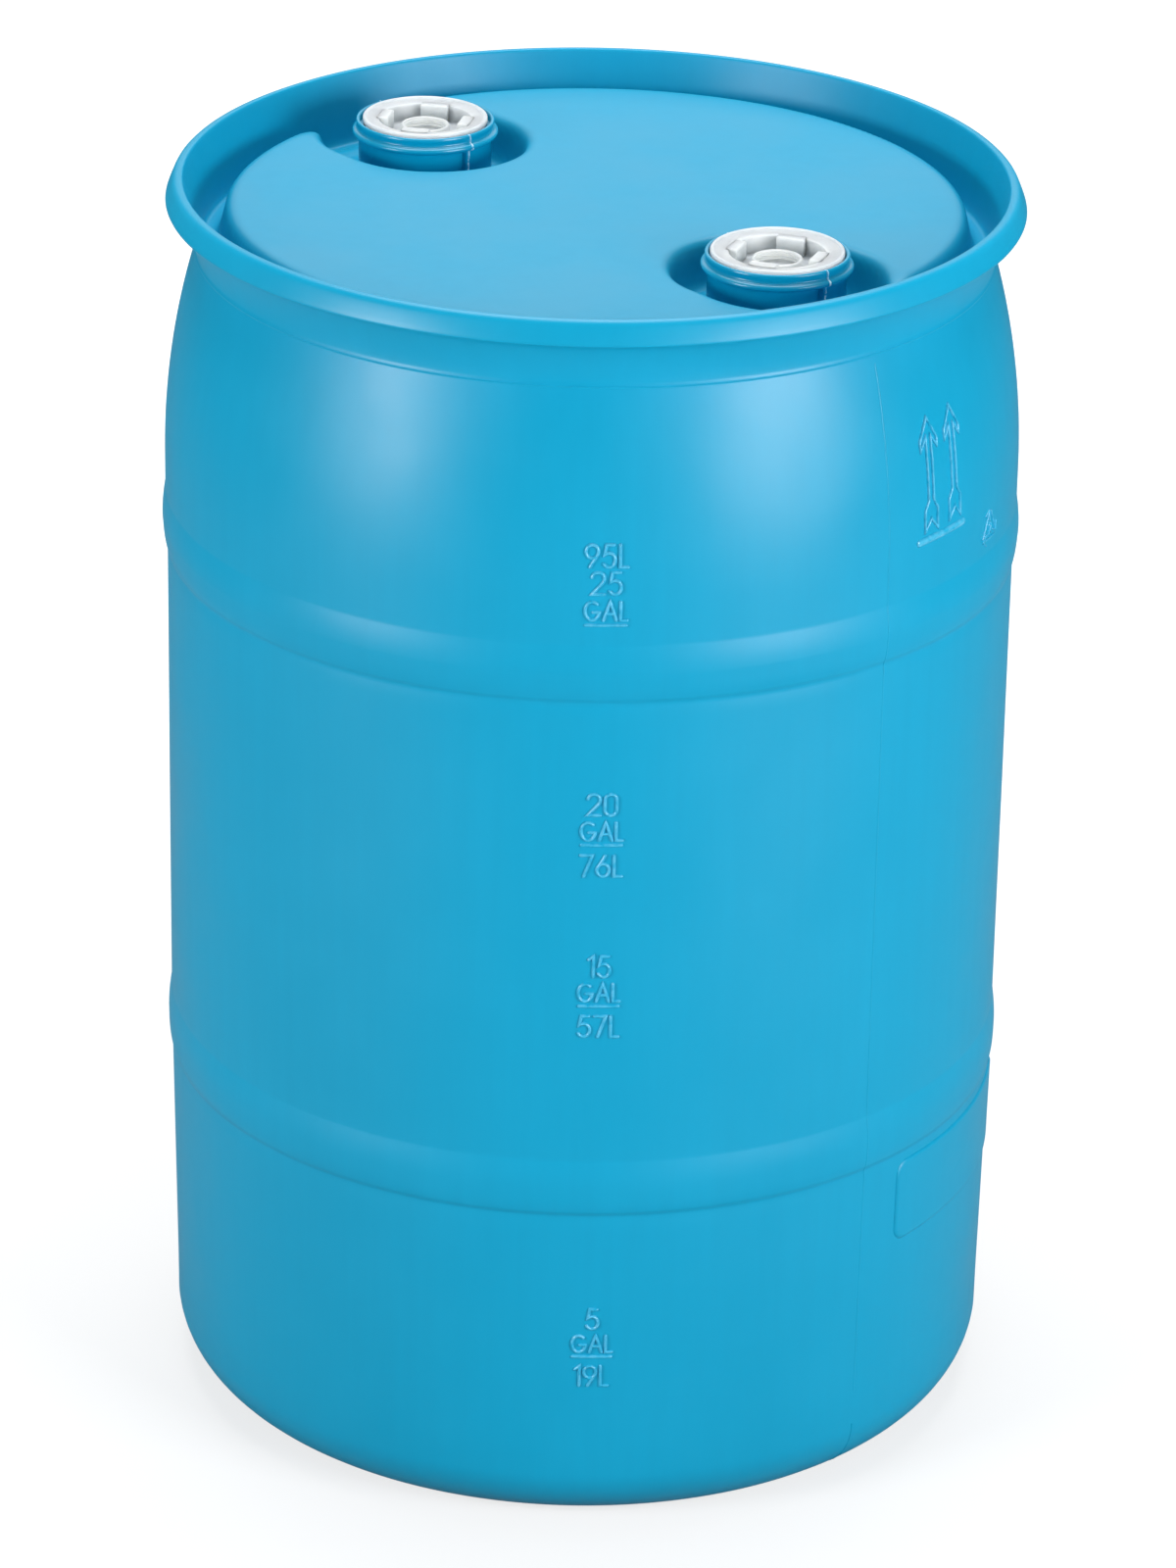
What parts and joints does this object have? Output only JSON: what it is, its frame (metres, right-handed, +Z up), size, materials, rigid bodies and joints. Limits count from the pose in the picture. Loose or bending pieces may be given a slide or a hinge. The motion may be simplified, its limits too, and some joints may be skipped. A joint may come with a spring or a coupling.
{
  "type": "plastic chemical drum",
  "caption": "Closed-head blow-moulded drum with an L-ring, rolling ribs and two screw plugs in wells in the top head.",
  "frame": {"origin": "centre of the circle that the drum stands on, at ground level", "axes": "+Z up along the drum's axis; -Y towards the side with the level marks; the front neck lies at azimuth -47.8 degrees from +X and the rear neck opposite"},
  "size_m": [0.4916, 0.4914, 0.738],
  "materials": {
    "blue_hdpe": "satin, blow-moulded",
    "natural_hdpe": "satin, injection-moulded, slightly translucent",
    "gasket_rubber": "matt"
  },
  "bodies": {
    "drum": {"side_wall": "blue_hdpe", "base_corner": "blue_hdpe", "base_panel": "blue_hdpe", "head_floor": "blue_hdpe", "head_riser": "blue_hdpe", "head_deck": "blue_hdpe", "l_ring_neck": "blue_hdpe", "l_ring_flange": "blue_hdpe", "front_neck": "blue_hdpe", "rear_neck": "blue_hdpe"},
    "front_gasket_body": {"front_gasket": "gasket_rubber"},
    "front_plug_body": {"front_plug": "natural_hdpe"},
    "rear_gasket_body": {"rear_gasket": "gasket_rubber"},
    "rear_plug_body": {"rear_plug": "natural_hdpe"}
  },
  "joints": [
    {"name": "front_plug_lift", "type": "slide", "parent": "drum", "child": "front_gasket_body", "axis": [0, 0, 1], "range_m": [0, 0.02033]},
    {"name": "front_plug_turn", "type": "hinge", "parent": "front_gasket_body", "child": "front_plug_body", "pos_m": [0.09975, -0.11001, 0.7315], "axis": [0, 0, 1], "range_deg": [0, 1440]},
    {"name": "rear_plug_lift", "type": "slide", "parent": "drum", "child": "rear_gasket_body", "axis": [0, 0, 1], "range_m": [0, 0.01989]},
    {"name": "rear_plug_turn", "type": "hinge", "parent": "rear_gasket_body", "child": "rear_plug_body", "pos_m": [-0.09975, 0.11001, 0.7315], "axis": [0, 0, 1], "range_deg": [0, 3240]}
  ],
  "couplings": [
    {"joint": "front_plug_lift", "follows": "front_plug_turn", "m_per_rad": 0.00080851},
    {"joint": "rear_plug_lift", "follows": "rear_plug_turn", "m_per_rad": 0.00035152}
  ]
}
